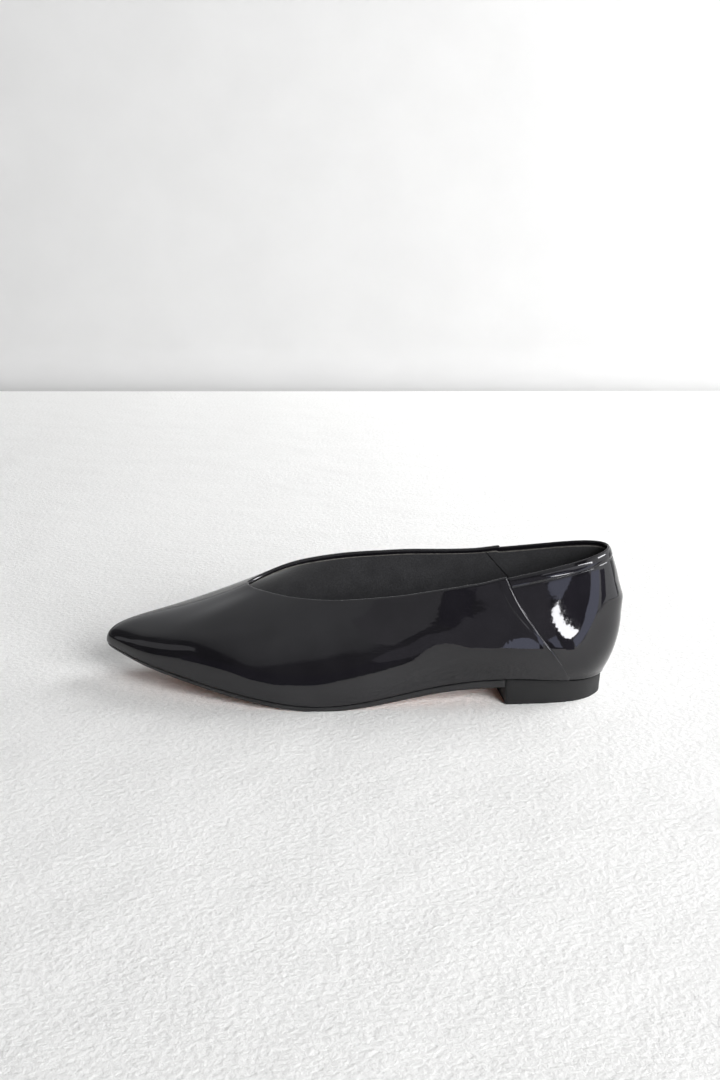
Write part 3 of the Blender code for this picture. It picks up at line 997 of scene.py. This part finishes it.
def rough_plaster_floor():
    """Stippled plaster under white paint: small hard lumps, with the paint drawn darker in the pits between
    them as painted shade.
    """
    finish, tree, place = new_finish("stippled_white_plaster")
    lumps = add_node(tree, "TexNoise", {"Scale": per_metre(2.7), "Detail": 3.0, "Roughness": 0.6},
                     place).outputs["Fac"]
    trowel = add_node(tree, "TexNoise", {"Scale": per_metre(70.0), "Detail": 4.0}, place)
    # Painted shade: the tint follows the lumps and is darker where they sink into pits
    tint = add_node(tree, "ValToRGB", links={"Fac": lumps},
                    stops=((0.3, "#ebebea"), (0.5, "#f4f4f3"), (0.7, "#f9f9f8")))
    reliefs = ((trowel.outputs["Fac"], 0.5, 4.0), (lumps, 0.7, 0.7))
    cover(tree, {"Roughness": 0.6, "Specular IOR Level": 0.4}, tint.outputs["Color"], reliefs=reliefs)
    return finish


def smooth_wall_paint():
    """Rolled white wall paint, matte and almost even."""
    finish, tree, place = new_finish("rolled_white_wall_paint")
    roller = add_node(tree, "TexNoise", {"Scale": per_metre(60.0), "Detail": 4.0}, place)
    tint = add_node(tree, "ValToRGB", links={"Fac": roller.outputs["Fac"]},
                    stops=((0.3, "#bababa"), (0.7, "#bdbdbd")))
    cover(tree, {"Roughness": 0.8, "Specular IOR Level": 0.2}, tint.outputs["Color"])
    return finish


# Camera, room and light, in metres

WALL_Y = 1.06               # behind the shoe
WALL_TOP = 0.55
SWEEP = 0.05                # radius where the wall meets the floor
ROOM_SIDE = 4.0             # reach of floor and wall to both sides, and of the floor to the front


def place_camera():
    """Outer side of the shoe from a little above."""
    lens = bpy.data.cameras.new("camera")
    lens.sensor_fit = "VERTICAL"
    lens.sensor_height = 36.0
    lens.lens = 51.667
    lens.clip_start = 0.01
    camera = bpy.data.objects.new("camera", lens)
    camera.location = (-0.0005, -0.7505, 0.2636)
    camera.rotation_euler = (radians(76.0), 0.0, 0.0)
    bpy.context.scene.collection.objects.link(camera)
    bpy.context.scene.camera = camera


def make_stage_piece(name, points, faces, finish):
    """Make one smooth piece of the room."""
    mesh = bpy.data.meshes.new(name)
    mesh.from_pydata(points, [], faces)
    mesh.materials.append(finish)
    for face in mesh.polygons:
        face.use_smooth = True
    piece = bpy.data.objects.new(name, mesh)
    bpy.context.scene.collection.objects.link(piece)
    return piece


def make_backdrop():
    """Plaster floor and, behind the shoe, a wall that rounds into it."""
    sides = (-ROOM_SIDE, ROOM_SIDE)
    floor = [(x, y, 0.0) for y in (-ROOM_SIDE, WALL_Y - SWEEP) for x in sides]
    make_stage_piece("floor", floor, grid_faces(2, 2), rough_plaster_floor())
    profile = []
    for turn in np.linspace(0.0, pi / 2, 14):
        profile.append((WALL_Y - SWEEP + SWEEP * np.sin(turn), SWEEP - SWEEP * np.cos(turn)))
    profile.append((WALL_Y, WALL_TOP))
    wall = [(x, y, z) for y, z in profile for x in sides]
    make_stage_piece("wall", wall, grid_faces(len(profile), 2), smooth_wall_paint())


# Painted reflections: glowing cards beside the shoe that only the patent leather mirrors, drawn as a window
# with dark frames, where the dim cards paint dark reflections. Each is an upright sheet on a plane. A plane
# holds x and y in millimetres and its turn to the right of the camera in degrees; corners are millimetres to
# the right of its middle and above the floor.
QUARTER_PLANE = (127.2, -74.5, 27.0)
WAIST_PLANE = (65.1, -85.9, 3.0)
FRAME_PLANE = (65.1, -85.4, 3.0)
BALL_PLANE = (-72.5, -86.7, -12.0)
BAND_PLANE = (174.0, -30.0, 70.0)
FOLD_PLANE = (216.0, -173.0, 42.0)
TOE_PLANE = (-330.0, -40.0, -80.0)
UPPER = ("vamp", "quarter")
# name, pieces that mirror it, plane, glow, colour, corners
PAINTED_REFLECTION_CARDS = (
    ("painted_reflection_window_white", UPPER, QUARTER_PLANE, 22.0, "#fbfbff",
     ((-16, 63), (-13.5, 61), (-13, 59.5), (-10, 58), (-9.5, 56), (-6.5, 54.5), (-6.5, 52.5), (-3, 50.5),
      (-3, 48.5), (0.5, 46.5), (2, 44), (6, 42.5), (9, 41), (13, 41.7), (17, 43), (13, 46), (11.5, 46.3),
      (9, 49), (7, 49.6), (5, 52), (2.3, 52.8), (0, 55), (-2.2, 55.8), (-4.5, 58.5), (-6.8, 59.2),
      (-9, 61.5), (-11, 63))),
    ("painted_reflection_sky_above", UPPER, QUARTER_PLANE, 1.7, "#d3d8f4",
     ((-22, 67), (-14, 69), (5, 73), (-4, 66), (-9, 63))),
    ("painted_reflection_sky_right", UPPER, QUARTER_PLANE, 2.0, "#d3d8f4",
     ((34, 78), (59, 81), (48, 63), (40, 45), (32, 37), (19, 27), (13, 39), (19, 42), (20, 50), (25, 60))),
    ("painted_reflection_sky_left", UPPER, QUARTER_PLANE, 2.0, "#d3d8f4",
     ((-66, 28), (-58, 48), (-46, 54), (-35, 53), (-29, 45), (-29, 29))),
    ("painted_reflection_sky_low", UPPER, QUARTER_PLANE, 1.6, "#d3d8f4", ((-18, 45), (-9, 49), (-1, 30), (-10, 32))),
    ("painted_dark_reflection_window_frame", UPPER, QUARTER_PLANE, 0.18, "#e4e0ff",
     ((6, 72), (32, 77), (25, 60), (20, 50), (17, 44), (1, 55), (-9, 62), (-4, 65))),
    ("painted_dark_reflection_window_sill", UPPER, QUARTER_PLANE, 0.18, "#e4e0ff", ((-2, 45), (11, 40), (17, 25), (3, 26))),
    ("painted_dark_reflection_window_post", UPPER, QUARTER_PLANE, 0.25, "#e4e0ff",
     ((62, 80), (88, 82), (66, 55), (50, 46), (53, 62))),
    ("painted_reflection_window_lintel", UPPER, QUARTER_PLANE, 1.5, "#e6e6ee",
     ((-26, 70), (5, 75), (32, 79.5), (60, 84), (60, 90), (43, 88.5), (43, 84), (13, 84), (13, 86),
      (-26, 82))),
    ("painted_reflection_window_high", ("quarter",), BAND_PLANE, 20.0, "#fbfbff",
     ((-9, 92), (24, 90), (24, 100), (10, 106), (-8, 106))),
    ("painted_reflection_window_rail", UPPER, QUARTER_PLANE, 20.0, "#fbfbff",
     ((14, 84.2), (42, 84.2), (42, 87.6), (14, 88.4))),
    ("painted_reflection_window_edge", ("vamp",), FOLD_PLANE, 18.0, "#fbfbff", ((-26, 90), (26, 90), (26, 290), (-26, 290))),
    ("painted_dark_reflection_skirting", ("vamp",), BALL_PLANE, 0.11, "#e8e4ff",
     ((-102, 17), (-46, 15), (-18, 9), (11, 9), (38, 12), (62, 13), (84, 20), (105, 24), (118, 28),
      (118, 40), (60, 30), (0, 26), (-50, 32), (-100, 40))),
    ("painted_reflection_pale_door", UPPER, WAIST_PLANE, 0.38, "#ece9f6",
     ((-46, 37), (-36, 43), (-30, 41), (-22, 48), (-9, 68), (11, 69), (26, 70), (43, 67), (52, 61), (57, 52),
      (46, 44), (35, 39), (31, 45), (27, 48), (21, 48), (16.5, 46), (15, 41), (14, 45), (12.5, 36),
      (11.5, 41), (9, 30), (6, 27), (-15, 22), (-24, 27), (-31, 30), (-40, 32))),
    ("painted_reflection_pale_screen", ("vamp",), WAIST_PLANE, 0.5, "#ecebf0",
     ((-78, 108), (-24, 78), (-27, 74), (-25, 72), (-28, 69), (-26, 67), (-29, 64), (-27, 62), (-31, 59),
      (-29, 57), (-34, 54), (-32, 52), (-36, 47), (-50, 60))),
    ("painted_reflection_pale_panel", ("vamp",), TOE_PLANE, 0.62, "#eeeef3",
     ((-83, 42), (-63, 95), (-54, 146), (-9, 161), (38, 165), (62, 172), (84, 170), (113, 162),
      (128, 122), (107, 122), (95, 107), (76, 95), (49, 91), (-3, 84), (-49, 67), (-65, 35))),
    ("painted_dark_reflection_door_frame", ("vamp",), FRAME_PLANE, 0.12, "#e8e4ff",
     ((-29, 53), (-24, 74), (-7, 72), (-4, 66), (-9, 67), (-21, 51))),
)


def make_painted_reflections(pieces):
    """Hang the cards that paint reflections: glowing sheets that only the listed leather pieces mirror;
    pieces holds the leather pieces by name.
    """
    for name, mirrors, (x, y, turn), glow, code, corners in PAINTED_REFLECTION_CARDS:
        right = (np.cos(radians(turn)), np.sin(radians(turn)))
        points = []
        for aside, height in corners:
            corner = (x + aside * right[0], y + HEEL_LINE_Y + aside * right[1], height)
            points.append([length * MM for length in corner])
        finish = bpy.data.materials.new(name)
        tree = empty_tree(finish)
        # The card glows for the leather alone: a painted reflection, not a lamp
        light = add_node(tree, "Emission", {"Color": linear(code), "Strength": glow})
        add_node(tree, "OutputMaterial", links={"Surface": light.outputs["Emission"]})
        card = make_stage_piece(name, points, [tuple(range(len(corners)))], finish)
        card.visible_camera = False
        card.visible_diffuse = False
        card.visible_shadow = False
        card.visible_transmission = False
        seen_by = bpy.data.collections.new(name + "_seen_by")
        for mirror in mirrors:
            seen_by.objects.link(pieces[mirror])
        card.light_linking.receiver_collection = seen_by


# The room around, by the axes of the direction looked at.
# How far its dark part reaches up, as a change of height over a stretch of one axis: it sinks in front on
# the left, stands high at the far left, and ends to the right and behind the shoe
DARK_LIFT = -0.10
DARK_STEPS = (
    ("X", -0.05, -0.50, 0.18),
    ("X", -0.57, -0.75, -0.42),
    ("X", 0.08, 0.22, 0.10),
    ("X", 0.50, 0.80, 0.60),
    ("Y", 0.10, 0.70, 0.40),
)
DARK_SPAN = 0.75            # height over which the room's shade runs
ROOM_SHADE = (
    (0.10, "#58585b"),
    (0.365, "#68686b"),
    (0.435, "#a4a5a7"),
    (0.67, "#babbbd"),
    (0.93, "#c6c7c9"),
)
# Its strength: axis, stretch, value before and after it
ROOM_STRENGTH = {
    "right": ("X", 0.5, 0.85, 1.0, 2.6),
    "behind": ("Y", 0.1, 0.7, 0.0, 1.0),
    "low": ("Z", 0.75, 0.35, 0.0, 0.95),
    "front": ("Y", -0.1, -0.4, 0.0, 1.0),
    "left": ("X", -0.3, -0.6, 0.0, -0.25),
}
# name, place, target, width, depth, spread in degrees, watts, colour
LAMPS = (
    ("window_light", (1.20, 0.60, 0.85), (0.0, 0.30, 0.0), 1.1, 1.1, 180, 20.0, "#ffffff"),
    ("front_fill", (2.15, -2.75, 1.45), (0.6, 1.06, 0.3), 2.6, 1.8, 90, 80.0, "#ffffff"),
)


def make_room():
    """Pale ceiling and a darker room low down behind the camera, which the leather mirrors."""
    world = bpy.data.worlds.new("room")
    bpy.context.scene.world = world
    tree = empty_tree(world)
    place = add_node(tree, "TexCoord")
    axes = add_node(tree, "SeparateXYZ", links={"Vector": place.outputs["Generated"]}).outputs
    height = add_node(tree, "Math", {"operation": "ADD", 1: DARK_LIFT}, {0: axes["Z"]})
    for axis, edge, full, drop in DARK_STEPS:
        step = add_node(tree, "MapRange",
                        {"From Min": edge, "From Max": full, "To Min": 0.0, "To Max": drop},
                        {"Value": axes[axis]})
        height = add_node(tree, "Math", {"operation": "ADD"},
                          {0: height.outputs["Value"], 1: step.outputs["Result"]})
    level = add_node(tree, "MapRange", {"From Min": 0.0, "From Max": DARK_SPAN},
                     {"Value": height.outputs["Value"]})
    shade = add_node(tree, "ValToRGB", links={"Fac": level.outputs["Result"]}, stops=ROOM_SHADE)
    parts = {}
    for name, (axis, edge, full, before, after) in ROOM_STRENGTH.items():
        part = add_node(tree, "MapRange",
                        {"From Min": edge, "From Max": full, "To Min": before, "To Max": after},
                        {"Value": axes[axis]})
        parts[name] = part.outputs["Result"]
    haze = add_node(tree, "Math", {"operation": "MULTIPLY_ADD"},
                    {0: parts["behind"], 1: parts["low"], 2: parts["right"]})
    glow = add_node(tree, "Math", {"operation": "MULTIPLY_ADD"},
                    {0: parts["front"], 1: parts["left"], 2: haze.outputs["Value"]})
    room = add_node(tree, "Background",
                    links={"Color": shade.outputs["Color"], "Strength": glow.outputs["Value"]})
    add_node(tree, "OutputWorld", links={"Surface": room.outputs["Background"]})
    world.cycles_visibility.diffuse = False


def hang_lamps():
    """Soft daylight from the right and a wide fill from the front, which no leather mirrors."""
    for name, spot, target, width, depth, spread, power, code in LAMPS:
        lamp = bpy.data.lights.new(name, "AREA")
        lamp.shape = "RECTANGLE"
        lamp.size = width
        lamp.size_y = depth
        lamp.spread = radians(spread)
        lamp.energy = power
        lamp.color = linear(code)[:3]
        holder = bpy.data.objects.new(name, lamp)
        holder.location = spot
        holder.rotation_euler = (Vector(target) - Vector(spot)).to_track_quat("-Z", "Y").to_euler()
        holder.visible_camera = False
        holder.visible_glossy = False
        bpy.context.scene.collection.objects.link(holder)


bpy.context.scene.view_settings.view_transform = "Standard"
place_camera()
make_backdrop()
make_room()
hang_lamps()

patent = patent_leather()
make_painted_reflections({"vamp": make_vamp(patent), "quarter": make_quarter(patent)})
make_lining(brushed_lining(), raw_lining_edge())
make_sock(sock_leather())
make_outsole(inked_sole_edge(), resin_sole())
make_heel(painted_heel(), rubber_heel_tip())
